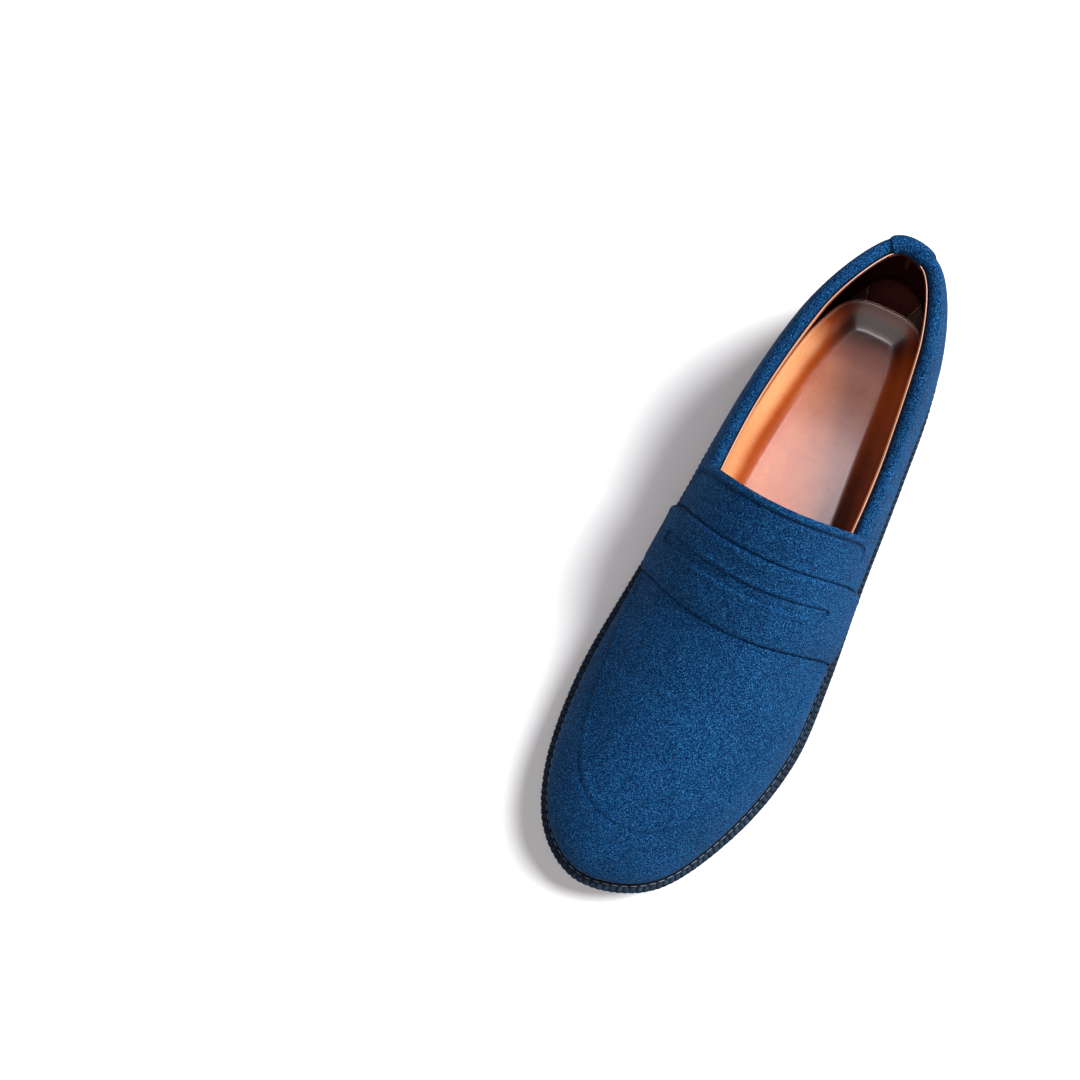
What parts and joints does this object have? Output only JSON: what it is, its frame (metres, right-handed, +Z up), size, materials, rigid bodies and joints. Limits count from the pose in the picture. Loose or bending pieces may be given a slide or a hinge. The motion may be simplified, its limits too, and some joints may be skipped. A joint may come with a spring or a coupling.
{
  "type": "penny loafer",
  "caption": "Blue suede slip-on penny loafer for the left foot, with a slotted saddle strap, a raised apron seam, tan leather lining, a ribbed welt and a low stacked heel.",
  "frame": {"origin": "on the ground, below the middle of the shoe's bounding box", "axes": "+X towards the medial side, the big toe's; +Y towards the toe; +Z up"},
  "size_m": [0.1009, 0.2974, 0.0974],
  "materials": {
    "suede": "blue suede with a short nap",
    "lining_leather": "glossy tan lining leather",
    "lining_textile": "white woven lining",
    "fibre_board": "pressed fibre board",
    "stacked_leather": "dark stacked leather",
    "foam": "cushion foam",
    "cork": "granulated cork",
    "sole_rubber": "near-black ribbed rubber",
    "steel": "plain steel",
    "cord": "braided cord"
  },
  "bodies": {
    "root": {"apron": "suede", "apron_seam": "suede", "cork_filler": "cork", "footbed_foam": "foam", "heel_counter": "fibre_board", "heel_lift_lower": "stacked_leather", "heel_lift_upper": "stacked_leather", "heel_lining": "lining_leather", "heel_nail_1": "steel", "heel_nail_2": "steel", "heel_nail_3": "steel", "heel_nail_4": "steel", "heel_nail_5": "steel", "heel_tab": "suede", "heel_top_piece": "sole_rubber", "insole": "fibre_board", "insole_rib": "fibre_board", "outsole": "sole_rubber", "quarter_lateral": "suede", "quarter_lining_lateral": "lining_leather", "quarter_lining_medial": "lining_leather", "quarter_medial": "suede", "shank": "steel", "sock_liner": "lining_leather", "strap": "suede", "strap_backing": "suede", "toe_puff": "fibre_board", "tongue": "suede", "tongue_lining": "lining_leather", "topline_cord": "cord", "vamp": "suede", "vamp_lining": "lining_textile", "welt": "sole_rubber"}
  },
  "joints": []
}
